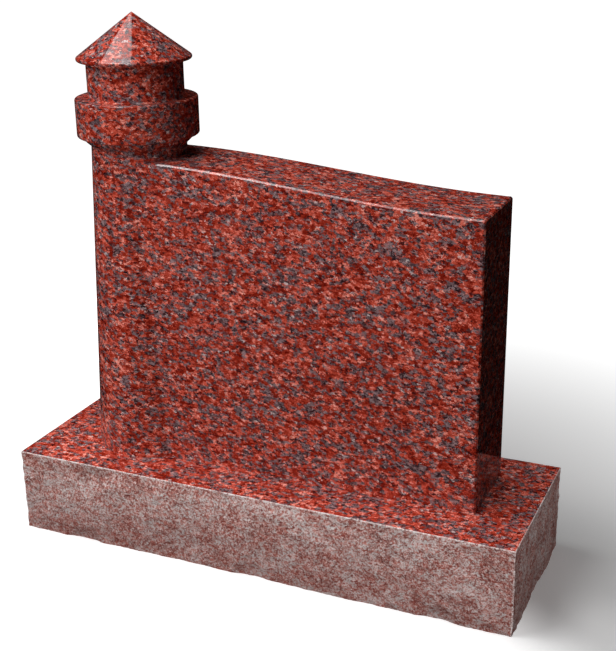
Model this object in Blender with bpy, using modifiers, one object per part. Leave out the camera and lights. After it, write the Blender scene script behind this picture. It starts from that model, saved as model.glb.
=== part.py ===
"""A granite headstone with a lighthouse turned on one end of its tablet, on a rock-pitched base.

Metres, +Z up. The origin is the centre of the base's underside, the front face looks along -Y,
and the lighthouse stands at the -X end.
"""

import math

import bmesh
import bpy
from mathutils import Matrix, Vector, noise

# Base: sawn and polished on top, rock-pitched on its four sides
BASE_LENGTH = 0.9144
BASE_DEPTH = 0.3048
BASE_HEIGHT = 0.1524
PITCH_CELL = 0.0135           # spacing of the points that carry the rock face
PITCH_BULGE = 0.0040          # the most that a rock face stands out past its sawn top edge
PITCH_HOLLOW = 0.0060         # the most that it falls back behind that edge
PITCH_MARGIN = 0.024          # height over which the relief sets in below the top edge
BELLY_DEPTH = 0.0015          # how far the middle of the height swells out between top and foot
CORNER_MARGIN = 0.030         # width beside each corner where the relief runs out
CORNER_SHARE = 0.25           # what is left of the relief at the corner itself
FLAKE_WIDTH = 0.085           # distance along the face between the scars left by the pitching chisel
FLAKE_RISE = 0.150            # how long a scar is up the face
FLAKE_DEPTH = 0.0070          # from the ridge between two scars to the floor of one
FLAKE_FLOOR = 0.42            # share of that depth which lies behind the face's mean surface
FLAKE_FAN = 2.6               # how much the scars draw together over each metre of height
FLAKE_LEAN = 0.05             # how far they lean along the face besides
SWELL_SIZE = 0.170            # size of the slow swells under the scars
SWELL_DEPTH = 0.0058
SWELL_PLACE = 6.0             # where the swells cut through their field, past the scars' place
SCOOP_SPACING = 0.335         # between the bites that the chisel took out of the foot
SCOOP_REACH = 0.036
SCOOP_RISE = 0.026
SCOOP_DEPTH = 0.0040           # on the front and the back
END_SCOOP_DEPTH = 0.0012       # on the two ends
FOOT_MARGIN = 0.035           # height above the floor over which the relief calms down
FOOT_SHARE = 0.40             # what is left of it at the floor

# Headstone: a tablet and a tower cut from one slab
HEADSTONE_LENGTH = 0.7381     # from the tower's foot to the tablet's far end
HEADSTONE_SHIFT = -0.0017     # of the headstone's middle, along the base
HEADSTONE_SETBACK = 0.0099    # of the slab's middle plane, behind the base's
BED_JOINT = 0.0003            # between the base and the headstone

# Tablet
TABLET_THICKNESS = 0.1558
TABLET_CREST = 0.5322         # height of the tablet's top at its crest, above the base
TOP_DROP = 0.0421             # from the crest down to the trough of the top's serpentine
CREST_INSET = 0.0125          # from the tower's axis to the crest
TROUGH_OVERRUN = 0.0230       # from the tablet's end out to where the trough would lie
TABLET_ARRIS = 0.0025
TOP_POINTS = 25

# Tower, from the foot up
SHAFT_FOOT_RADIUS = 0.1040
SHAFT_TOP_RADIUS = 0.0813
SHAFT_HEIGHT = 0.5461
NECK_CHAMFER = 0.0080
NECK_BAND = 0.0077
NECK_RADIUS = 0.0899
GALLERY_HEIGHT = 0.0640
GALLERY_RADIUS = 0.1038
GALLERY_ARRIS = 0.0030
LANTERN_HEIGHT = 0.0608
LANTERN_RADIUS = 0.0812
LANTERN_COVE = 0.0030         # fillet where the lantern stands on the gallery
ROOF_HEIGHT = 0.0778
ROOF_RADIUS = 0.1048          # at the sharp edge that the eave's rounding takes off
EAVE_ROUND = 0.0039

# How finely the round parts are faceted
TOWER_STEPS = 72
ARRIS_STEPS = 3

# Working allowances
BED_STOCK = 0.0100            # that the saw takes off under the headstone
WELD = 0.00001                # points closer than this are one point
ROUND_WELD = 0.00005
LEVEL_COSINE = 0.99           # a face whose normal leans less than this is level

# Edges that turn by more than these stay crisp, in degrees
ARRIS_ANGLE = 40
PITCH_CREASE = 35
TURNED_CREASE = 25

# Finishes
POLISHED_RED = (0.30, 0.045, 0.030)
POLISHED_ROUGHNESS = 0.08
PITCHED_RED = (0.42, 0.26, 0.23)
PITCHED_ROUGHNESS = 0.85

# Worked out from the values above
BED_HEIGHT = BASE_HEIGHT + BED_JOINT
TOWER_X = HEADSTONE_SHIFT - HEADSTONE_LENGTH / 2 + SHAFT_FOOT_RADIUS
TABLET_END_X = HEADSTONE_SHIFT + HEADSTONE_LENGTH / 2

SIDES = (
    # outward direction, direction along the face, place in the field of scars, depth of the scoops
    (Vector((0, -1, 0)), Vector((1, 0, 0)), 77.5, SCOOP_DEPTH),
    (Vector((1, 0, 0)), Vector((0, 1, 0)), 54.6, END_SCOOP_DEPTH),
    (Vector((0, 1, 0)), Vector((-1, 0, 0)), 47.9, SCOOP_DEPTH),
    (Vector((-1, 0, 0)), Vector((0, -1, 0)), 54.2, END_SCOOP_DEPTH),
)


def clear_scene():
    for obj in list(bpy.data.objects):
        bpy.data.objects.remove(obj)


def new_collection(name):
    collection = bpy.data.collections.new(name)
    bpy.context.scene.collection.children.link(collection)
    return collection


def granite(name, colour, roughness):
    material = bpy.data.materials.new(name)
    material.use_nodes = True
    shader = material.node_tree.nodes["Principled BSDF"]
    shader.inputs["Base Color"].default_value = (*colour, 1.0)
    shader.inputs["Roughness"].default_value = roughness
    shader.inputs["Metallic"].default_value = 0.0
    return material


def add_object(name, data, collection):
    obj = bpy.data.objects.new(name, data)
    collection.objects.link(obj)
    return obj


def as_guide(obj):
    obj.hide_render = True
    obj.display_type = "WIRE"
    return obj


def evaluated_mesh(obj):
    """The mesh that an object's modifiers or its curve give."""
    bpy.context.view_layer.update()
    graph = bpy.context.evaluated_depsgraph_get()
    return bpy.data.meshes.new_from_object(obj.evaluated_get(graph), depsgraph=graph)


def finish_round(mesh, angle_degrees):
    mesh.shade_smooth()
    mesh.set_sharp_from_angle(angle=math.radians(angle_degrees))


def smooth_step(value):
    value = min(max(value, 0.0), 1.0)
    return value * value * (3.0 - 2.0 * value)


def cut_in_cells(bm, axis, size):
    """Cut the block square to an axis into cells no longer than PITCH_CELL."""
    count = max(2, math.ceil(size / PITCH_CELL))
    normal = Vector([float(i == axis) for i in range(3)])
    for i in range(1, count):
        bmesh.ops.bisect_plane(
            bm, geom=bm.verts[:] + bm.edges[:] + bm.faces[:], dist=WELD,
            plane_co=normal * (i * size / count - size / 2), plane_no=normal,
        )


def foot_scoop(along, height):
    """Share of its depth that a bite out of the foot of a rock face has at a point."""
    to_scoop = (along + SCOOP_SPACING / 2) % SCOOP_SPACING - SCOOP_SPACING / 2
    return max(0.0, 1.0 - (to_scoop / SCOOP_REACH) ** 2 - (height / SCOOP_RISE) ** 2)


def pitched_relief(along, height, half_length, place, scoop_depth):
    """How far a rock face stands out at a point, along the face from its middle and above the floor."""
    lean = along * (1.0 + FLAKE_FAN * height) - FLAKE_LEAN * height
    spot = Vector((lean / FLAKE_WIDTH, height / FLAKE_RISE, place))
    nearest = min(noise.voronoi(spot)[0][0], 1.0)
    scars = FLAKE_DEPTH * (nearest ** 2 - FLAKE_FLOOR)
    spot = Vector((lean / SWELL_SIZE, height / SWELL_SIZE, place + SWELL_PLACE))
    swells = SWELL_DEPTH * noise.noise(spot)

    below_top = BASE_HEIGHT - height
    belly = BELLY_DEPTH * 4.0 * height * below_top / BASE_HEIGHT ** 2
    to_corner = half_length - abs(along)
    share = smooth_step(below_top / PITCH_MARGIN)
    share *= CORNER_SHARE + (1.0 - CORNER_SHARE) * smooth_step(to_corner / CORNER_MARGIN)
    share *= FOOT_SHARE + (1.0 - FOOT_SHARE) * smooth_step(height / FOOT_MARGIN)
    relief = share * (belly + scars + swells) - scoop_depth * foot_scoop(along, height)
    return min(max(relief, -PITCH_HOLLOW), PITCH_BULGE)


def build_base(material, collection):
    """A sawn block whose four sides are broken back with a pitching chisel."""
    size = Vector((BASE_LENGTH, BASE_DEPTH, BASE_HEIGHT))
    bm = bmesh.new()
    bmesh.ops.create_cube(bm, size=1.0, matrix=Matrix.Diagonal((*size, 1.0)))
    for axis in range(3):
        cut_in_cells(bm, axis, size[axis])
    for end in (-1.0, 1.0):
        level = [face for face in bm.faces if face.normal.z * end > LEVEL_COSINE]
        bmesh.ops.dissolve_faces(bm, faces=level, use_verts=False)

    for vert in bm.verts:
        height = vert.co.z + BASE_HEIGHT / 2
        if height > BASE_HEIGHT - PITCH_CELL / 4:
            continue
        push = Vector()
        for outward, along, place, scoop_depth in SIDES:
            half_across = abs(outward.dot(size)) / 2
            half_length = abs(along.dot(size)) / 2
            if vert.co.dot(outward) > half_across - PITCH_CELL / 4:
                reach = vert.co.dot(along)
                push += outward * pitched_relief(reach, height, half_length, place, scoop_depth)
        vert.co += push
    bmesh.ops.translate(bm, verts=bm.verts, vec=(0, 0, BASE_HEIGHT / 2))
    bmesh.ops.recalc_face_normals(bm, faces=bm.faces)

    mesh = bpy.data.meshes.new("base")
    bm.to_mesh(mesh)
    bm.free()
    mesh.materials.append(material)
    finish_round(mesh, PITCH_CREASE)
    return add_object("base", mesh, collection)


def top_height(x):
    """Height of the tablet's serpentine top at a place along it."""
    crest_x = TOWER_X + CREST_INSET
    trough_x = TABLET_END_X + TROUGH_OVERRUN
    share = min(max((x - crest_x) / (trough_x - crest_x), 0.0), 1.0)
    return BED_HEIGHT + TABLET_CREST - TOP_DROP * (1.0 - math.cos(math.pi * share)) / 2


def tablet_outline():
    low = BED_HEIGHT - BED_STOCK
    points = [(TOWER_X, low), (TABLET_END_X, low)]
    for i in range(TOP_POINTS):
        x = TABLET_END_X + (TOWER_X - TABLET_END_X) * i / (TOP_POINTS - 1)
        points.append((x, top_height(x)))
    return points


def build_tablet(guides):
    """The flat slab with its serpentine top and its eased edges."""
    curve = bpy.data.curves.new("tablet_outline", "CURVE")
    curve.dimensions = "2D"
    curve.fill_mode = "BOTH"
    curve.extrude = TABLET_THICKNESS / 2
    points = tablet_outline()
    spline = curve.splines.new("POLY")
    spline.points.add(len(points) - 1)
    for point, (x, z) in zip(spline.points, points):
        point.co = (x, z, 0.0, 1.0)
    spline.use_cyclic_u = True
    outline = add_object("tablet_outline", curve, guides)
    outline.rotation_euler.x = math.pi / 2
    outline.location.y = HEADSTONE_SETBACK

    mesh = evaluated_mesh(outline)
    bm = bmesh.new()
    bm.from_mesh(mesh)
    bmesh.ops.remove_doubles(bm, verts=bm.verts, dist=WELD)
    bmesh.ops.recalc_face_normals(bm, faces=bm.faces)
    bm.to_mesh(mesh)
    bm.free()
    tablet = add_object("tablet", mesh, guides)
    tablet.matrix_world = outline.matrix_world
    bpy.data.objects.remove(outline)

    arris = tablet.modifiers.new("arris", "BEVEL")
    arris.width = TABLET_ARRIS
    arris.segments = ARRIS_STEPS
    arris.limit_method = "ANGLE"
    arris.angle_limit = math.radians(ARRIS_ANGLE)
    return tablet


def rounded(corner, before, after, radius):
    """An arc of the given radius that eases a corner of the profile between its two neighbours."""
    corner, before, after = Vector(corner), Vector(before), Vector(after)
    back = (before - corner).normalized()
    on = (after - corner).normalized()
    half = back.angle(on) / 2
    reach = radius / math.tan(half)
    centre = corner + (back + on).normalized() * (radius / math.sin(half))
    start = corner + back * reach - centre
    turn = start.angle_signed(corner + on * reach - centre)
    points = []
    for i in range(ARRIS_STEPS + 1):
        spoke = Matrix.Rotation(-turn * i / ARRIS_STEPS, 2) @ start
        points.append(tuple(centre + spoke))
    return points


def tower_profile():
    """Radius and height down the tower's outer side, from the roof's point to under the bed."""
    shaft_top = BED_HEIGHT + SHAFT_HEIGHT
    band = shaft_top + NECK_CHAMFER
    gallery_foot = band + NECK_BAND
    gallery_top = gallery_foot + GALLERY_HEIGHT
    eave = gallery_top + LANTERN_HEIGHT
    point = (0.0, eave + ROOF_HEIGHT)
    low = BED_HEIGHT - BED_STOCK
    corners = [
        (point, 0.0),
        ((ROOF_RADIUS, eave), EAVE_ROUND),
        ((LANTERN_RADIUS, eave), 0.0),
        ((LANTERN_RADIUS, gallery_top), LANTERN_COVE),
        ((GALLERY_RADIUS, gallery_top), GALLERY_ARRIS),
        ((GALLERY_RADIUS, gallery_foot), GALLERY_ARRIS),
        ((NECK_RADIUS, gallery_foot), 0.0),
        ((NECK_RADIUS, band), 0.0),
        ((SHAFT_TOP_RADIUS, shaft_top), 0.0),
        ((SHAFT_FOOT_RADIUS, BED_HEIGHT), 0.0),
        ((SHAFT_FOOT_RADIUS, low), 0.0),
        ((0.0, low), 0.0),
    ]
    profile = []
    for i, (corner, radius) in enumerate(corners):
        if radius:
            profile += rounded(corner, corners[i - 1][0], corners[i + 1][0], radius)
        else:
            profile.append(corner)
    return profile


def build_tower(guides):
    """The turned lighthouse: tapered shaft, neck, gallery, lantern and conical roof."""
    bm = bmesh.new()
    verts = [bm.verts.new((radius, 0.0, height)) for radius, height in tower_profile()]
    for upper, lower in zip(verts, verts[1:]):
        bm.edges.new((upper, lower))
    mesh = bpy.data.meshes.new("tower")
    bm.to_mesh(mesh)
    bm.free()
    tower = add_object("tower", mesh, guides)
    tower.location = (TOWER_X, HEADSTONE_SETBACK, 0.0)

    turning = tower.modifiers.new("turning", "SCREW")
    turning.steps = TOWER_STEPS
    turning.render_steps = TOWER_STEPS
    turning.use_merge_vertices = True
    turning.merge_threshold = ROUND_WELD
    return tower


def build_bed_cutter(guides):
    """The saw cut that leaves the headstone's bed level, just clear of the base."""
    depth = BED_HEIGHT
    bpy.ops.mesh.primitive_cube_add(size=1.0, location=(0, 0, depth / 2))
    cutter = bpy.context.object
    cutter.name = "bed_cutter"
    cutter.data.transform(Matrix.Diagonal((2 * BASE_LENGTH, 2 * BASE_DEPTH, depth, 1.0)))
    for collection in list(cutter.users_collection):
        collection.objects.unlink(cutter)
    guides.objects.link(cutter)
    return cutter


def add_boolean(obj, name, operation, other):
    step = obj.modifiers.new(name, "BOOLEAN")
    step.operation = operation
    step.solver = "EXACT"
    step.object = other
    as_guide(other)


def build_headstone(material, collection, guides):
    """The tablet and the tower made one stone, sawn level underneath."""
    tablet = build_tablet(guides)
    add_boolean(tablet, "with_tower", "UNION", build_tower(guides))
    add_boolean(tablet, "level_bed", "DIFFERENCE", build_bed_cutter(guides))
    mesh = evaluated_mesh(tablet)
    mesh.name = "headstone"
    mesh.materials.clear()
    mesh.materials.append(material)
    finish_round(mesh, TURNED_CREASE)
    headstone = add_object("headstone", mesh, collection)
    headstone.matrix_world = tablet.matrix_world
    as_guide(tablet)
    return headstone


def main():
    clear_scene()
    parts = new_collection("lighthouse_headstone")
    guides = new_collection("cutters")
    polished = granite("polished_granite", POLISHED_RED, POLISHED_ROUGHNESS)
    pitched = granite("pitched_granite", PITCHED_RED, PITCHED_ROUGHNESS)
    build_base(pitched, parts)
    build_headstone(polished, parts, guides)


main()
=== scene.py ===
"""A polished red granite headstone with a lighthouse at one end, on its rock-pitched base.

Metres, +Z up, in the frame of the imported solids. Each stone is one piece. The headstone is sawn,
turned and united here in finer steps than its solid, with flat eased arrises on its tablet. The
base gets the fine relief that the pitching chisel leaves.
"""

import logging
import math
from dataclasses import dataclass
from enum import Enum

import bmesh
import bpy
from mathutils import Euler, Matrix, Vector, noise


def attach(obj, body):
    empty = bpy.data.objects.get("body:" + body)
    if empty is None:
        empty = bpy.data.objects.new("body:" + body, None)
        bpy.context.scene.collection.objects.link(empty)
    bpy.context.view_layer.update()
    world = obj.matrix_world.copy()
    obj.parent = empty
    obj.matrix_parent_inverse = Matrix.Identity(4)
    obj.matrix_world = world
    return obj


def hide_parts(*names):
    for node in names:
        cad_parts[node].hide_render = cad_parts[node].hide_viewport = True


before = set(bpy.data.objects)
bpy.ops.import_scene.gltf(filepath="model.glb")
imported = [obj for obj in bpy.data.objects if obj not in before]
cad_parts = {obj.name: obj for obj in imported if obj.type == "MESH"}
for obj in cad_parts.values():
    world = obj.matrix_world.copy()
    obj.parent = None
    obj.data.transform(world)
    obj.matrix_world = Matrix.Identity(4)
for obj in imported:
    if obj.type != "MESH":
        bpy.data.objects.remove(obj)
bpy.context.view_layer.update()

log = logging.getLogger("lighthouse_headstone")

PHOTO_SIZE = (616, 651)
WHITE = (1.0, 1.0, 1.0, 1.0)
NOISE_MIDDLE = 0.5

Socket = bpy.types.NodeSocket
Colour = tuple[float, float, float, float]
Value = Socket | float | tuple[float, ...]


class Side(Enum):
    """A side of the base.

    Its values are the way out of it, the way along it, its place among the scars and the depth of
    the bites out of its foot.
    """

    FRONT = ((0, -1, 0), (1, 0, 0), 77.5, 0.0040)
    RIGHT = ((1, 0, 0), (0, 1, 0), 54.6, 0.0012)
    BACK = ((0, 1, 0), (-1, 0, 0), 47.9, 0.0040)
    LEFT = ((-1, 0, 0), (0, -1, 0), 54.2, 0.0012)

    @property
    def outward(self) -> Vector:
        """Direction out of the stone."""
        return Vector(self.value[0])

    @property
    def along(self) -> Vector:
        """Direction along the face, from left to right as one looks at it."""
        return Vector(self.value[1])

    @property
    def place(self) -> float:
        """Where this side cuts through the field of scars."""
        return self.value[2]

    @property
    def scoop_depth(self) -> float:
        """How deep the bites out of its foot are."""
        return self.value[3]


def smooth_step(value: float) -> float:
    """Zero below 0, one above 1, and an even curve between."""
    value = min(max(value, 0.0), 1.0)
    return value * value * (3.0 - 2.0 * value)


def linear(red: int, green: int, blue: int) -> Colour:
    """Turn a colour as seen on a screen into the shader's linear values.

    Args:
        red: Red from 0 to 255.
        green: Green from 0 to 255.
        blue: Blue from 0 to 255.

    Returns:
        The colour with an alpha of 1.
    """
    def channel(value: int) -> float:
        """Undo the screen's curve on one channel."""
        share = value / 255
        return share / 12.92 if share <= 0.04045 else ((share + 0.055) / 1.055) ** 2.4

    return (channel(red), channel(green), channel(blue), 1.0)


class NodeTree:
    """A material's shader nodes, added and linked one call at a time."""

    def __init__(self, name: str) -> None:
        """Start an empty tree in a new material.

        Args:
            name: Name of the material.
        """
        self.material = bpy.data.materials.new(name)
        self.material.use_nodes = True
        self.tree = self.material.node_tree
        self.shader = self.tree.nodes["Principled BSDF"]

    def add(self, kind: str, links: dict[str | int, Value] | None = None, **settings: str) -> bpy.types.Node:
        """Add a node.

        Args:
            kind: The node's type, without the ShaderNode in front.
            links: Input name or number to an output socket or a plain value.
            settings: Properties of the node.

        Returns:
            The new node.
        """
        node = self.tree.nodes.new("ShaderNode" + kind)
        for name, value in settings.items():
            setattr(node, name, value)
        for key, value in (links or {}).items():
            if isinstance(value, Socket):
                self.tree.links.new(value, node.inputs[key])
            else:
                node.inputs[key].default_value = value
        return node

    def link(self, output: Socket, name: str) -> None:
        """Link an output to one of the Principled shader's inputs."""
        self.tree.links.new(output, self.shader.inputs[name])

    def place(self) -> Socket:
        """Where a point is on the piece, in metres."""
        return self.add("TexCoord").outputs["Object"]

    def math(self, operation: str, *values: Socket | float) -> Socket:
        """Work out one number from sockets or plain numbers."""
        return self.add("Math", dict(enumerate(values)), operation=operation).outputs[0]

    def mix(self, share: Socket | float, first: Value, second: Value) -> Socket:
        """Mix a share of the second colour into the first."""
        return self.add("Mix", {0: share, 6: first, 7: second}, data_type="RGBA").outputs[2]

    def between(self, value: Socket, low: float, high: float) -> Socket:
        """A share from 0 to 1 that rises as the value goes from low to high."""
        node = self.add("MapRange", {0: value, 1: low, 2: high}, interpolation_type="SMOOTHSTEP")
        return node.outputs[0]

    def clouds(self, place: Socket, size: float, detail: float) -> bpy.types.Node:
        """Add soft noise with lumps of a size."""
        return self.add("TexNoise", {"Vector": place, "Scale": 1 / size, "Detail": detail})

    def crystals(self, place: Socket, size: float) -> Socket:
        """A random number for each crystal of a size."""
        cells = self.add("TexVoronoi", {"Vector": place, "Scale": 1 / size}, feature="F1")
        return self.add("SeparateColor", {0: cells.outputs["Color"]}).outputs[0]

    def ramp(self, value: Socket, places: tuple[float, ...], colours: tuple[Colour, ...]) -> Socket:
        """Colours along a scale.

        Args:
            value: The socket that picks the colour.
            places: Where each colour stands, from 0 to 1.
            colours: The linear colours, one for each place.

        Returns:
            The socket of the colour.
        """
        node = self.add("ValToRGB", {0: value})
        elements = node.color_ramp.elements
        for place in places[1:-1]:
            elements.new(place)
        for element, place, colour in zip(elements, places, colours):
            element.position = place
            element.color = colour
        return node.outputs[0]


@dataclass(frozen=True)
class Granite:
    """Red granite: red and salmon feldspar, clouds of slate-grey quartz, specks of mica and pale flecks.

    Sizes are those of the grains. A share is how much of the stone a kind of grain takes up, and a
    cover how much it hides of what lies under it.
    """

    shift: tuple[float, float, float] = (0.0, 0.0, 0.0)
    flow_degrees: float = 10.0
    stretch: tuple[float, float, float] = (1.55, 1.25, 1.0)
    ragged: float = 0.0040
    ragged_detail: float = 1.5

    feldspar_size: float = 0.0056
    feldspar_part: float = 0.52
    mottle_size: float = 0.0027
    mottle_part: float = 0.48
    red_places: tuple[float, ...] = (0.10, 0.42, 0.70, 0.94)
    deep_red: Colour = linear(110, 20, 10)
    red: Colour = linear(156, 44, 28)
    bright_red: Colour = linear(222, 92, 72)
    salmon: Colour = linear(255, 176, 160)

    quartz_size: float = 0.0050
    quartz_share: float = 0.37
    quartz_cover: float = 0.92
    quartz_top: float = 1.55
    quartz_slope: float = 0.9
    quartz_fade: tuple[float, float] = (-0.11, 0.07)
    cloud_size: float = 0.030
    cloud_detail: float = 2.0
    cloud_pull: float = 1.1
    grey_power: float = 1.4
    slate: Colour = linear(38, 28, 34)
    grey: Colour = linear(158, 138, 142)

    mica_size: float = 0.0034
    mica_share: float = 0.09
    mica_softness: float = 0.6
    mica_cover: float = 0.85
    mica: Colour = linear(34, 20, 24)
    fleck_size: float = 0.0030
    fleck_share: float = 0.012
    fleck_softness: float = 0.5
    fleck_cover: float = 0.75
    pale: Colour = linear(232, 214, 212)

    def colour(self, nodes: NodeTree) -> Socket:
        """Build the grains' colour.

        Args:
            nodes: The tree to build it in.

        Returns:
            The socket of the colour.
        """
        place = self.flowing(nodes)
        ragged = self.roughened(nodes, place)
        mottle = nodes.crystals(ragged, self.mottle_size)
        reds = self.reds(nodes, ragged, mottle)
        greys = nodes.mix(nodes.math("POWER", mottle, self.grey_power), self.slate, self.grey)
        quartz = self.quartz(nodes, place, ragged)
        body = nodes.mix(nodes.math("MULTIPLY", quartz, self.quartz_cover), reds, greys)

        mica = nodes.crystals(ragged, self.mica_size)
        mica = self.rare(nodes, mica, self.mica_share, self.mica_softness)
        body = nodes.mix(nodes.math("MULTIPLY", mica, self.mica_cover), body, self.mica)
        fleck = nodes.crystals(ragged, self.fleck_size)
        fleck = self.rare(nodes, fleck, self.fleck_share, self.fleck_softness)
        return nodes.mix(nodes.math("MULTIPLY", fleck, self.fleck_cover), body, self.pale)

    def flowing(self, nodes: NodeTree) -> Socket:
        """Build the places on the stone, drawn out along its flow.

        Args:
            nodes: The tree to build them in.

        Returns:
            The socket of the drawn-out places.
        """
        drawn = nodes.add("Mapping", {
            "Vector": nodes.place(),
            "Location": self.shift,
            "Rotation": (0.0, math.radians(self.flow_degrees), 0.0),
            "Scale": self.stretch,
        }, vector_type="TEXTURE")
        return drawn.outputs[0]

    def roughened(self, nodes: NodeTree, place: Socket) -> Socket:
        """Move each point a little, so that the grains get ragged outlines.

        Args:
            nodes: The tree to build it in.
            place: The socket of the points.

        Returns:
            The socket of the moved points.
        """
        wander = nodes.clouds(place, self.mottle_size, self.ragged_detail).outputs["Color"]
        centred = nodes.add("VectorMath", {0: wander, 1: (NOISE_MIDDLE,) * 3}, operation="SUBTRACT")
        reach = {0: centred.outputs[0], "Scale": self.ragged * 2}
        scaled = nodes.add("VectorMath", reach, operation="SCALE")
        return nodes.add("VectorMath", {0: place, 1: scaled.outputs[0]}, operation="ADD").outputs[0]

    def reds(self, nodes: NodeTree, ragged: Socket, mottle: Socket) -> Socket:
        """Build the feldspar's colour, from deep red to salmon.

        Args:
            nodes: The tree to build it in.
            ragged: The socket of the moved points.
            mottle: The socket of the small crystals' random number.

        Returns:
            The socket of the colour.
        """
        feldspar = nodes.crystals(ragged, self.feldspar_size)
        tone = nodes.math("MULTIPLY", feldspar, self.feldspar_part)
        tone = nodes.math("MULTIPLY_ADD", mottle, self.mottle_part, tone)
        return nodes.ramp(tone, self.red_places, (self.deep_red, self.red, self.bright_red, self.salmon))

    def quartz(self, nodes: NodeTree, place: Socket, ragged: Socket) -> Socket:
        """Find the quartz, whose crystals gather in clouds.

        Args:
            nodes: The tree to build it in.
            place: The socket of the points.
            ragged: The socket of the moved points.

        Returns:
            A socket that is one on quartz, and zero elsewhere.
        """
        cloud = nodes.clouds(place, self.cloud_size, self.cloud_detail).outputs["Fac"]
        crystal = nodes.crystals(ragged, self.quartz_size)
        chance = nodes.math("MULTIPLY_ADD", cloud, self.cloud_pull, crystal)
        edge = self.quartz_top - self.quartz_share * self.quartz_slope
        low, high = self.quartz_fade
        return nodes.between(chance, edge + low, edge + high)

    @staticmethod
    def rare(nodes: NodeTree, crystal: Socket, share: float, softness: float) -> Socket:
        """One on about a share of the crystals, and zero on the rest."""
        return nodes.between(crystal, 1 - share * (1 + softness), 1 - share * (1 - softness))


@dataclass(frozen=True)
class PolishedGranite:
    """The mirror polish of the headstone and of the base's top."""

    name: str
    granite: Granite
    roughness: float = 0.035
    ior: float = 1.50

    def build(self) -> bpy.types.Material:
        """Make the material.

        Returns:
            The new material.
        """
        nodes = NodeTree(self.name)
        nodes.link(self.granite.colour(nodes), "Base Color")
        nodes.shader.inputs["Roughness"].default_value = self.roughness
        nodes.shader.inputs["IOR"].default_value = self.ior
        return nodes.material


@dataclass(frozen=True)
class PitchedGranite:
    """The broken sides of the base: bruised crystals, palest on the arrises, with painted shade that darkens
    them towards the foot.
    """

    name: str
    granite: Granite
    arris_place: tuple[float, float, float]
    crystal_size: float = 0.0034
    crystal_part: float = 0.45
    chip_size: float = 0.0020
    chip_part: float = 0.55
    bruise_size: float = 0.040
    bruise_detail: float = 3.0
    bruise_change: float = 0.8
    tone_places: tuple[float, ...] = (0.14, 0.38, 0.60, 0.84)
    dark: Colour = linear(126, 62, 54)
    dull: Colour = linear(196, 134, 122)
    bruised: Colour = linear(224, 196, 190)
    pale: Colour = linear(255, 248, 246)
    own_share: float = 0.26
    # Painted shade: how much of the dark tone is mixed in at the foot, fading out by the height below.
    foot_share: float = 0.34
    foot_shade_height: float = 0.15
    arris_share: float = 0.85
    roughness: float = 0.60
    bump_size: float = 0.0024
    bump_detail: float = 4.0
    bump_strength: float = 1.0
    bump_depth: float = 0.0012

    def build(self) -> bpy.types.Material:
        """Make the material.

        Returns:
            The new material.
        """
        nodes = NodeTree(self.name)
        place = nodes.place()
        tone = self.tone(nodes, place)
        broken = nodes.ramp(tone, self.tone_places, (self.dark, self.dull, self.bruised, self.pale))
        body = nodes.mix(self.own_share, broken, self.granite.colour(nodes))
        # Painted shade: mix the dark tone in towards the foot.
        height = nodes.add("SeparateXYZ", {0: place}).outputs[2]
        low = nodes.math("SUBTRACT", 1.0, nodes.between(height, 0.0, self.foot_shade_height))
        body = nodes.mix(nodes.math("MULTIPLY", low, self.foot_share), body, self.dark)
        crushed = nodes.math("MULTIPLY", tone, self.arris_share)
        crushed = nodes.math("MULTIPLY", self.arris(nodes, place), crushed)
        nodes.link(nodes.mix(crushed, body, self.pale), "Base Color")
        nodes.shader.inputs["Roughness"].default_value = self.roughness
        bump = nodes.add("Bump", {
            "Strength": self.bump_strength,
            "Distance": self.bump_depth,
            "Height": nodes.clouds(place, self.bump_size, self.bump_detail).outputs["Fac"],
        })
        nodes.link(bump.outputs[0], "Normal")
        return nodes.material

    def tone(self, nodes: NodeTree, place: Socket) -> Socket:
        """Build how pale the broken crystals are, in drifts of bruised and clean stone.

        Args:
            nodes: The tree to build it in.
            place: The socket of the points.

        Returns:
            The socket of the tone, from 0 for dark to 1 for pale.
        """
        chips = nodes.math("MULTIPLY", nodes.crystals(place, self.chip_size), self.chip_part)
        crystals = nodes.crystals(place, self.crystal_size)
        tone = nodes.math("MULTIPLY_ADD", crystals, self.crystal_part, chips)
        bruises = nodes.clouds(place, self.bruise_size, self.bruise_detail).outputs["Fac"]
        paler = nodes.math("SUBTRACT", bruises, NOISE_MIDDLE)
        return nodes.math("MULTIPLY_ADD", paler, self.bruise_change, tone)

    def arris(self, nodes: NodeTree, place: Socket) -> Socket:
        """Find the crushed arrises round the top and down the four corners.

        Args:
            nodes: The tree to build it in.
            place: The socket of the points.

        Returns:
            A socket that is one on the arrises, and zero elsewhere.
        """
        out = nodes.add("VectorMath", {0: place}, operation="ABSOLUTE").outputs[0]
        parts = nodes.add("SeparateXYZ", {0: out}).outputs
        past = [nodes.math("GREATER_THAN", part, limit) for part, limit in zip(parts, self.arris_place)]
        corner = nodes.math("MULTIPLY", past[0], past[1])
        return nodes.math("MAXIMUM", corner, past[2])


def finish_piece(
    bm: bmesh.types.BMesh, name: str, materials: list[bpy.types.Material], sharp_degrees: float,
) -> bpy.types.Object:
    """Turn a bmesh into an object at the origin, smooth except over its sharp edges.

    Args:
        bm: The piece's mesh, freed afterwards.
        name: Name of the piece.
        materials: Its materials, in the order of the faces' material numbers.
        sharp_degrees: Edges that turn by more than this stay sharp.

    Returns:
        The new object.
    """
    mesh = bpy.data.meshes.new(name)
    bm.to_mesh(mesh)
    bm.free()
    for material in materials:
        mesh.materials.append(material)
    mesh.shade_smooth()
    mesh.set_sharp_from_angle(angle=math.radians(sharp_degrees))
    piece = bpy.data.objects.new(name, mesh)
    bpy.context.scene.collection.objects.link(piece)
    return piece


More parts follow.
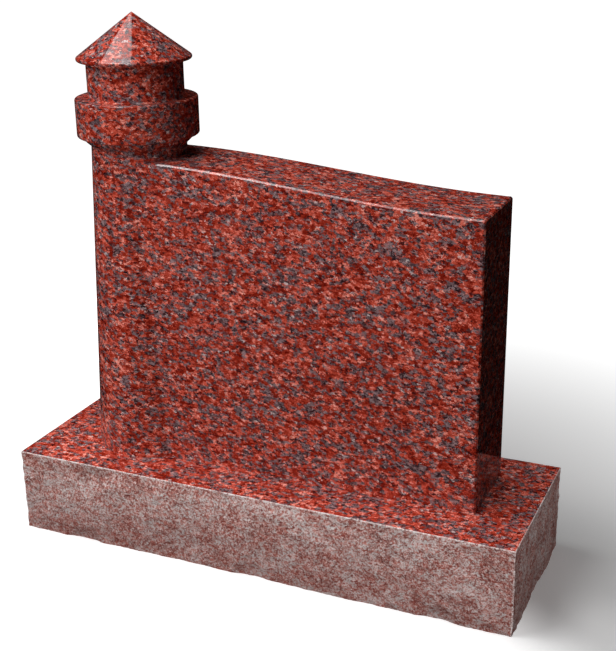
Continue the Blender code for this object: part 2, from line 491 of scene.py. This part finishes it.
@dataclass
class RockPitchedBase:
    """The block under the headstone: polished on top, broken back with a pitching chisel all round."""

    length: float = 0.9144
    depth: float = 0.3048
    height: float = 0.1524
    cell: float = 0.0032
    bulge: float = 0.0040
    hollow: float = 0.0060
    sharp_degrees: float = 38.0

    pitch_margin: float = 0.024
    belly_depth: float = 0.0015
    corner_margin: float = 0.030
    corner_share: float = 0.25
    foot_margin: float = 0.035
    foot_share: float = 0.40

    flake_width: float = 0.085
    flake_rise: float = 0.150
    flake_depth: float = 0.0070
    flake_floor: float = 0.42
    flake_fan: float = 2.6
    flake_lean: float = 0.05
    swell_size: float = 0.170
    swell_depth: float = 0.0058
    swell_place: float = 6.0
    scoop_spacing: float = 0.335
    scoop_reach: float = 0.036
    scoop_rise: float = 0.026

    fine_margin: float = 0.008
    fine_floor: float = 0.35
    chip_size: float = 0.024
    chip_depth: float = 0.0022
    chip_place: float = 20.0
    nick_size: float = 0.011
    nick_depth: float = 0.0011
    nick_place: float = 25.0
    grain_size: float = 0.0060
    grain_depth: float = 0.0006
    grain_place: float = 30.0

    arris: float = 0.0012
    arris_steps: int = 2
    crushed: float = 0.0020
    granite: Granite = Granite(shift=(0.31, 0.17, 0.43))

    def build(self) -> bpy.types.Object:
        """Model the block and dress it.

        Returns:
            The piece that stands for the node base.
        """
        bm = bmesh.new()
        for side in Side:
            self.add_side(bm, side)
        bmesh.ops.remove_doubles(bm, verts=bm.verts, dist=self.cell / 20)
        caps = bmesh.ops.holes_fill(bm, edges=bm.edges, sides=0)["faces"]
        bmesh.ops.recalc_face_normals(bm, faces=bm.faces)
        self.break_sides(bm)
        for face in bm.faces:
            face.material_index = 1
        top = max(caps, key=lambda face: face.calc_center_median().z)
        top.material_index = 0
        bmesh.ops.bevel(
            bm, geom=list(top.edges), offset=self.arris, offset_type="OFFSET", segments=self.arris_steps,
            profile=0.5, affect="EDGES", material=1,
        )
        materials = [
            PolishedGranite("polished_base_granite", self.granite).build(),
            PitchedGranite("pitched_granite", self.granite, self.arris_place()).build(),
        ]
        piece = finish_piece(bm, "pitched_base", materials, self.sharp_degrees)
        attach(piece, "root")
        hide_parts("base")
        return piece

    def arris_place(self) -> tuple[float, float, float]:
        """How far out along each axis the crushed arrises begin."""
        reach = self.crushed
        return (self.length / 2 - reach, self.depth / 2 - reach, self.height - reach)

    def half_sizes(self, side: Side) -> tuple[float, float]:
        """Half the length of a side, and its distance from the middle."""
        size = Vector((self.length, self.depth, self.height))
        return abs(side.along.dot(size)) / 2, abs(side.outward.dot(size)) / 2

    def add_side(self, bm: bmesh.types.BMesh, side: Side) -> None:
        """Add one flat side as a fine grid.

        Args:
            bm: The mesh to add to.
            side: Which side.
        """
        half_length, distance = self.half_sizes(side)
        turn = Matrix((side.along, Vector((0, 0, 1)), side.outward)).transposed().to_4x4()
        middle = Matrix.Translation(side.outward * distance + Vector((0, 0, self.height / 2)))
        size = Matrix.Diagonal((half_length * 2, self.height, 1.0, 1.0))
        bmesh.ops.create_grid(
            bm, x_segments=round(half_length * 2 / self.cell), y_segments=round(self.height / self.cell),
            size=0.5, matrix=middle @ turn @ size,
        )

    def break_sides(self, bm: bmesh.types.BMesh) -> None:
        """Push the points of the four sides out or in to the broken surface.

        Args:
            bm: The block's mesh.
        """
        near = self.cell / 4
        for vert in bm.verts:
            height = vert.co.z
            if height > self.height - near:
                continue
            push = Vector()
            for side in Side:
                if vert.co.dot(side.outward) > self.half_sizes(side)[1] - near:
                    push += side.outward * self.relief(side, vert.co.dot(side.along), height)
            vert.co += push

    def relief(self, side: Side, along: float, height: float) -> float:
        """How far the rock face stands out at a point.

        Args:
            side: Which side.
            along: Place along the side from its middle.
            height: Height above the floor.

        Returns:
            The distance out of the sawn plane, negative where the stone falls back.
        """
        lean = along * (1.0 + self.flake_fan * height) - self.flake_lean * height
        coarse = self.freedom(side, along, height) * self.scars(side, lean, height)
        coarse -= self.scoop(side, along, height)
        fine = self.chipping(side, along, lean, height)
        return min(max(coarse + fine, -self.hollow), self.bulge)

    def freedom(self, side: Side, along: float, height: float) -> float:
        """How far the scars may go at a point, less beside the top, the corners and the foot.

        Args:
            side: Which side.
            along: Place along the side from its middle.
            height: Height above the floor.

        Returns:
            A share from 0 to 1.
        """
        share = smooth_step((self.height - height) / self.pitch_margin)
        to_corner = self.half_sizes(side)[0] - abs(along)
        share *= self.corner_share + (1.0 - self.corner_share) * smooth_step(to_corner / self.corner_margin)
        return share * (self.foot_share + (1.0 - self.foot_share) * smooth_step(height / self.foot_margin))

    def scars(self, side: Side, lean: float, height: float) -> float:
        """The broad scars of the chisel and the slow swells under them.

        Args:
            side: Which side.
            lean: Place along the side, fanned out with the height.
            height: Height above the floor.

        Returns:
            The distance out of the sawn plane.
        """
        belly = self.belly_depth * 4.0 * height * (self.height - height) / self.height ** 2
        spot = Vector((lean / self.flake_width, height / self.flake_rise, side.place))
        flakes = self.flake_depth * (self.cup(spot) - self.flake_floor)
        spot = Vector((lean / self.swell_size, height / self.swell_size, side.place + self.swell_place))
        return belly + flakes + self.swell_depth * noise.noise(spot)

    def scoop(self, side: Side, along: float, height: float) -> float:
        """How deep the bites out of the foot are at a point.

        Args:
            side: Which side.
            along: Place along the side from its middle.
            height: Height above the floor.

        Returns:
            The depth, zero away from the bites.
        """
        to_scoop = (along + self.scoop_spacing / 2) % self.scoop_spacing - self.scoop_spacing / 2
        hollow = 1.0 - (to_scoop / self.scoop_reach) ** 2 - (height / self.scoop_rise) ** 2
        return side.scoop_depth * max(0.0, hollow)

    def chipping(self, side: Side, along: float, lean: float, height: float) -> float:
        """The chips, nicks and grain on the broken surface.

        Args:
            side: Which side.
            along: Place along the side from its middle.
            lean: The same place, fanned out with the height.
            height: Height above the floor.

        Returns:
            The distance out of the broken surface.
        """
        spot = Vector((lean / self.chip_size, height / self.chip_size, side.place + self.chip_place))
        chips = self.chip_depth * (self.cup(spot) - self.fine_floor)
        spot = Vector((along / self.nick_size, height / self.nick_size, side.place + self.nick_place))
        nicks = self.nick_depth * (self.cup(spot) - self.fine_floor)
        spot = Vector((along / self.grain_size, height / self.grain_size, side.place + self.grain_place))
        grains = self.grain_depth * noise.noise(spot)
        return smooth_step((self.height - height) / self.fine_margin) * (chips + nicks + grains)

    @staticmethod
    def cup(spot: Vector) -> float:
        """Zero in the middle of a scar, rising to one at most where scars meet."""
        return min(noise.voronoi(spot)[0][0], 1.0) ** 2


@dataclass
class Headstone:
    """The tablet with its serpentine top and the lighthouse at its end, one polished stone."""

    bed: float = 0.1527
    tower_x: float = -0.26675
    tower_y: float = 0.0099
    stock: float = 0.0100
    cut_slack: float = 1e-6
    bed_slack: float = 1e-7
    weld: float = 1e-5
    sharp_degrees: float = 14.0

    end_x: float = 0.36735
    thickness: float = 0.1558
    crest: float = 0.5322
    drop: float = 0.0421
    crest_inset: float = 0.0125
    trough_overrun: float = 0.0230
    block_height: float = 1.0
    top_steps: int = 64
    arris: float = 0.0025
    arris_degrees: float = 40.0

    shaft_foot_radius: float = 0.1040
    shaft_top_radius: float = 0.0813
    shaft_height: float = 0.5461
    neck_chamfer: float = 0.0080
    neck_band: float = 0.0077
    neck_radius: float = 0.0899
    gallery_height: float = 0.0640
    gallery_radius: float = 0.1038
    gallery_arris: float = 0.0030
    lantern_height: float = 0.0608
    lantern_radius: float = 0.0812
    lantern_cove: float = 0.0030
    roof_height: float = 0.0778
    roof_radius: float = 0.1048
    roof_rings: tuple[float, ...] = (0.01, 0.03, 0.10, 0.30, 0.60)
    eave_round: float = 0.0039
    round_steps: int = 6
    turning_steps: int = 256
    granite: Granite = Granite()

    def build(self) -> bpy.types.Object:
        """Model the stone and dress it.

        Returns:
            The piece that stands for the node headstone.
        """
        tablet = finish_piece(self.tablet(), "tablet_form", [], self.sharp_degrees)
        tower = finish_piece(self.tower(), "tower_form", [], self.sharp_degrees)
        union = tablet.modifiers.new("with_tower", "BOOLEAN")
        union.operation = "UNION"
        union.solver = "EXACT"
        union.object = tower
        bpy.context.view_layer.update()
        graph = bpy.context.evaluated_depsgraph_get()
        bm = bmesh.new()
        bm.from_object(tablet, graph)
        for form in (tablet, tower):
            bpy.data.objects.remove(form)
        self.level_bed(bm)
        material = PolishedGranite("polished_granite", self.granite).build()
        piece = finish_piece(bm, "lighthouse_headstone", [material], self.sharp_degrees)
        weights = piece.modifiers.new("even_faces", "WEIGHTED_NORMAL")
        weights.keep_sharp = True
        weights.mode = "FACE_AREA"
        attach(piece, "root")
        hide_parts("headstone")
        return piece

    def top_height(self, x: float) -> float:
        """Height of the serpentine top, which falls from its crest beside the tower to a trough.

        Args:
            x: Place along the tablet.

        Returns:
            The height above the floor.
        """
        crest_x = self.tower_x + self.crest_inset
        trough_x = self.end_x + self.trough_overrun
        share = min(max((x - crest_x) / (trough_x - crest_x), 0.0), 1.0)
        return self.bed + self.crest - self.drop * (1.0 - math.cos(math.pi * share)) / 2

    def tablet(self) -> bmesh.types.BMesh:
        """Saw a block to the serpentine top and ease its arrises.

        Returns:
            The tablet's mesh, with some stock under its bed.
        """
        bm = bmesh.new()
        length = self.end_x - self.tower_x
        low = self.bed - self.stock
        middle = Vector(((self.tower_x + self.end_x) / 2, self.tower_y, low + self.block_height / 2))
        size = Matrix.Diagonal((length, self.thickness, self.block_height, 1.0))
        bmesh.ops.create_cube(bm, size=1.0, matrix=Matrix.Translation(middle) @ size)
        for i in range(1, self.top_steps):
            bmesh.ops.bisect_plane(
                bm, geom=bm.verts[:] + bm.edges[:] + bm.faces[:], dist=self.cut_slack,
                plane_co=(self.tower_x + length * i / self.top_steps, 0, 0), plane_no=(1, 0, 0),
            )
        for vert in bm.verts:
            if vert.co.z > middle.z:
                vert.co.z = self.top_height(vert.co.x)
        bmesh.ops.bevel(
            bm, geom=[edge for edge in bm.edges if self.is_arris(edge)], offset=self.arris,
            offset_type="OFFSET", segments=1, profile=0.5, affect="EDGES", material=-1,
        )
        return bm

    def is_arris(self, edge: bmesh.types.BMEdge) -> bool:
        """Tell whether an edge of the tablet is an arris that is eased, clear of the tower's middle."""
        sharp = edge.calc_face_angle(0.0) > math.radians(self.arris_degrees)
        return sharp and min(vert.co.x for vert in edge.verts) > self.tower_x

    def rounded(self, corner: Vector, before: Vector, after: Vector, radius: float) -> list[Vector]:
        """Ease a corner of the profile with an arc.

        Args:
            corner: The corner's radius and height.
            before: The point above it on the profile.
            after: The point below it.
            radius: Radius of the arc.

        Returns:
            The points of the arc, from above to below.
        """
        back = (before - corner).normalized()
        on = (after - corner).normalized()
        half = back.angle(on) / 2
        reach = radius / math.tan(half)
        centre = corner + (back + on).normalized() * (radius / math.sin(half))
        start = corner + back * reach - centre
        turn = start.angle_signed(corner + on * reach - centre)
        steps = self.round_steps
        return [centre + Matrix.Rotation(-turn * i / steps, 2) @ start for i in range(steps + 1)]

    def corners(self) -> list[tuple[Vector, float]]:
        """List the corners of the tower's profile, from its point to under the bed.

        Returns:
            Each corner's radius and height, and the radius of the arc that eases it.
        """
        shaft_top = self.bed + self.shaft_height
        band = shaft_top + self.neck_chamfer
        gallery_foot = band + self.neck_band
        gallery_top = gallery_foot + self.gallery_height
        eave = gallery_top + self.lantern_height
        low = self.bed - self.stock
        return [
            (Vector((0.0, eave + self.roof_height)), 0.0),
            (Vector((self.roof_radius, eave)), self.eave_round),
            (Vector((self.lantern_radius, eave)), 0.0),
            (Vector((self.lantern_radius, gallery_top)), self.lantern_cove),
            (Vector((self.gallery_radius, gallery_top)), self.gallery_arris),
            (Vector((self.gallery_radius, gallery_foot)), self.gallery_arris),
            (Vector((self.neck_radius, gallery_foot)), 0.0),
            (Vector((self.neck_radius, band)), 0.0),
            (Vector((self.shaft_top_radius, shaft_top)), 0.0),
            (Vector((self.shaft_foot_radius, self.bed)), 0.0),
            (Vector((self.shaft_foot_radius, low)), 0.0),
            (Vector((0.0, low)), 0.0),
        ]

    def profile(self) -> list[Vector]:
        """Draw the tower's profile, with its eased corners and rings on the roof.

        Returns:
            Radius and height of each point, from the tower's point to under the bed.
        """
        corners = self.corners()
        points: list[Vector] = []
        for i, (corner, radius) in enumerate(corners):
            if radius:
                points += self.rounded(corner, corners[i - 1][0], corners[i + 1][0], radius)
            else:
                points.append(corner)
        apex, lip = corners[0][0], corners[1][0]
        rings = [apex.lerp(lip, share) for share in self.roof_rings]
        return points[:1] + rings + points[1:]

    def tower(self) -> bmesh.types.BMesh:
        """Turn the lighthouse about its own axis.

        Returns:
            The tower's mesh, with some stock under its bed.
        """
        bm = bmesh.new()
        verts = [bm.verts.new((self.tower_x + p.x, self.tower_y, p.y)) for p in self.profile()]
        edges = [bm.edges.new(pair) for pair in zip(verts, verts[1:])]
        bmesh.ops.spin(
            bm, geom=verts + edges, cent=(self.tower_x, self.tower_y, 0), axis=(0, 0, 1),
            angle=math.tau, steps=self.turning_steps, use_merge=True,
        )
        bmesh.ops.remove_doubles(bm, verts=bm.verts, dist=self.weld)
        bmesh.ops.recalc_face_normals(bm, faces=bm.faces)
        return bm

    def level_bed(self, bm: bmesh.types.BMesh) -> None:
        """Saw the underside level, just clear of the base."""
        bmesh.ops.bisect_plane(
            bm, geom=bm.verts[:] + bm.edges[:] + bm.faces[:], dist=self.bed_slack,
            plane_co=(0, 0, self.bed), plane_no=(0, 0, -1), clear_outer=True,
        )
        bmesh.ops.holes_fill(bm, edges=bm.edges, sides=0)


class Reach(Enum):
    """What a light falls on."""

    EVERYTHING = "everything"
    STONES = "stones"
    HEADSTONE = "headstone"
    BASE = "base"


@dataclass(frozen=True)
class Softbox:
    """A rectangular studio light that looks at the stone, with flags that may keep it off the rest."""

    name: str
    azimuth: float
    elevation: float
    distance: float
    width: float
    height: float
    power: float
    reach: Reach = Reach.EVERYTHING
    mirrored: bool = True

    def build(self, target: Vector, lit: dict[Reach, bpy.types.Collection]) -> bpy.types.Object:
        """Hang the light.

        Args:
            target: The point that it faces.
            lit: What the light falls on where flags keep it off the rest.

        Returns:
            The lamp.
        """
        lamp = bpy.data.lights.new(self.name, "AREA")
        lamp.shape = "RECTANGLE"
        lamp.size = self.width
        lamp.size_y = self.height
        lamp.energy = self.power
        azimuth, elevation = math.radians(self.azimuth), math.radians(self.elevation)
        level = math.cos(elevation)
        away = Vector((math.sin(azimuth) * level, -math.cos(azimuth) * level, math.sin(elevation)))
        box = bpy.data.objects.new(self.name, lamp)
        box.location = target + away * self.distance
        box.rotation_euler = away.to_track_quat("Z", "Y").to_euler()
        bpy.context.scene.collection.objects.link(box)
        box.visible_glossy = self.mirrored
        if self.reach in lit:
            box.light_linking.receiver_collection = lit[self.reach]
        return box


@dataclass
class Studio:
    """Pale floor, soft light and the camera at the photograph's place."""

    eye: tuple[float, float, float] = (0.8315, -1.7490, 1.1211)
    yaw: float = 24.132
    pitch: float = 20.309
    roll: float = -0.877
    focal_pixels: float = 1213.1
    sensor_width: float = 36.0

    floor_size: float = 30.0
    floor_white: float = 0.95
    floor_roughness: float = 0.9
    floor_sharp_degrees: float = 30.0
    # The floor's glow paints a soft shadow: weak near the stone, full far off, and painted light to the
    # front.
    shadow_glow: float = 0.125
    far_glow: float = 1.0
    shadow_fade_start: float = 0.35
    shadow_fade_end: float = 1.54
    front_painted_light: float = 0.56
    front_way: tuple[float, float, float] = (-0.6, -0.8, 0.0)
    front_start: float = -0.27
    front_end: float = -0.10

    fill: float = 0.045
    aim: tuple[float, float, float] = (0.0, 0.0, 0.4)
    softboxes: tuple[Softbox, ...] = (
        Softbox("overhead_box", azimuth=-82, elevation=68, distance=2.6, width=1.3, height=1.1, power=15),
        Softbox("upper_box", azimuth=-18, elevation=42, distance=4.5, width=1.6, height=1.2, power=69,
                reach=Reach.HEADSTONE, mirrored=False),
        Softbox("front_box", azimuth=-18, elevation=6, distance=3.0, width=1.6, height=0.5, power=26,
                reach=Reach.HEADSTONE, mirrored=False),
        Softbox("ledge_box", azimuth=-10, elevation=24, distance=3.0, width=1.5, height=1.1, power=54,
                reach=Reach.BASE),
        Softbox("high_box", azimuth=-50, elevation=66, distance=2.7, width=1.1, height=1.2, power=21),
        Softbox("back_box", azimuth=-150, elevation=52, distance=4.0, width=1.6, height=1.2, power=34,
                reach=Reach.STONES),
        Softbox("right_box", azimuth=84, elevation=24, distance=2.2, width=1.2, height=0.9, power=11,
                reach=Reach.BASE),
    )

    def build(self, base: bpy.types.Object, headstone: bpy.types.Object) -> None:
        """Set up floor, world, lights and camera.

        Args:
            base: The block that stands on the floor.
            headstone: The stone on top of it.
        """
        self.floor()
        self.world()
        lit = {
            Reach.STONES: self.group("lit_stones", [base, headstone]),
            Reach.HEADSTONE: self.group("lit_headstone", [headstone]),
            Reach.BASE: self.group("lit_base", [base]),
        }
        for box in self.softboxes:
            box.build(Vector(self.aim), lit)
        self.camera()
        bpy.context.scene.view_settings.view_transform = "Standard"

    @staticmethod
    def group(name: str, stones: list[bpy.types.Object]) -> bpy.types.Collection:
        """Put stones in a collection that a light's flags leave open.

        Args:
            name: Name of the collection.
            stones: The stones that the light falls on.

        Returns:
            The new collection.
        """
        collection = bpy.data.collections.new(name)
        for stone in stones:
            collection.objects.link(stone)
        return collection

    def floor(self) -> None:
        """Lay a pale table whose glow paints a soft shadow round the stone: weak near it, stronger the
        farther it is, with painted light brightening it to the front.
        """
        bm = bmesh.new()
        bmesh.ops.create_grid(bm, x_segments=1, y_segments=1, size=self.floor_size / 2)
        nodes = NodeTree("pale_floor")
        nodes.shader.inputs["Base Color"].default_value = (*[self.floor_white] * 3, 1.0)
        nodes.shader.inputs["Roughness"].default_value = self.floor_roughness
        nodes.shader.inputs["Specular IOR Level"].default_value = 0.0
        nodes.shader.inputs["Emission Color"].default_value = WHITE
        nodes.link(self.glow(nodes), "Emission Strength")
        floor = finish_piece(bm, "floor", [nodes.material], self.floor_sharp_degrees)
        floor.visible_glossy = False
        floor.visible_diffuse = False

    def glow(self, nodes: NodeTree) -> Socket:
        """Build the floor's glow, with a painted shadow near the stone and painted light to its front.

        Args:
            nodes: The tree to build it in.

        Returns:
            The socket of its strength.
        """
        place = nodes.place()
        away = nodes.add("VectorMath", {0: place}, operation="LENGTH").outputs["Value"]
        # Painted shadow: the glow is weak near the stone and rises to full farther out.
        rise = nodes.add("MapRange", {
            0: away, 1: self.shadow_fade_start, 2: self.shadow_fade_end, 3: self.shadow_glow, 4: self.far_glow,
        }, interpolation_type="SMOOTHSTEP").outputs[0]
        # Painted light: extra glow that whitens the floor in front of the stone.
        forward = nodes.add("VectorMath", {0: place, 1: self.front_way}, operation="DOT_PRODUCT")
        front = nodes.between(forward.outputs["Value"], self.front_start, self.front_end)
        return nodes.math("MULTIPLY_ADD", front, self.front_painted_light, rise)

    def world(self) -> None:
        """White behind the stone, a little soft fill on it, and dark in its polish."""
        world = bpy.data.worlds.new("studio")
        bpy.context.scene.world = world
        world.use_nodes = True
        tree = world.node_tree
        path = tree.nodes.new("ShaderNodeLightPath")
        fill = tree.nodes.new("ShaderNodeMath")
        fill.operation = "MULTIPLY_ADD"
        fill.inputs[1].default_value = self.fill
        tree.links.new(path.outputs["Is Diffuse Ray"], fill.inputs[0])
        tree.links.new(path.outputs["Is Camera Ray"], fill.inputs[2])
        sky = tree.nodes["Background"]
        sky.inputs["Color"].default_value = WHITE
        tree.links.new(fill.outputs[0], sky.inputs["Strength"])

    def camera(self) -> None:
        """The camera that took the photograph, as worked out from the stone's edges."""
        data = bpy.data.cameras.new("camera")
        data.sensor_fit = "AUTO"
        data.sensor_width = self.sensor_width
        data.lens = self.focal_pixels / max(PHOTO_SIZE) * data.sensor_width
        camera = bpy.data.objects.new("camera", data)
        camera.location = self.eye
        look = Euler((math.radians(90 - self.pitch), 0.0, math.radians(self.yaw)), "XYZ").to_matrix()
        camera.rotation_euler = (look @ Matrix.Rotation(math.radians(self.roll), 3, "Z")).to_euler()
        bpy.context.scene.collection.objects.link(camera)
        bpy.context.scene.camera = camera


def main() -> None:
    """Build the stones, then the studio."""
    logging.basicConfig(level=logging.INFO, format="%(name)s: %(message)s")
    base = RockPitchedBase().build()
    headstone = Headstone().build()
    for piece in (base, headstone):
        log.info("%s: %d faces", piece.name, len(piece.data.polygons))
    Studio().build(base, headstone)


if __name__ == "__main__":
    main()
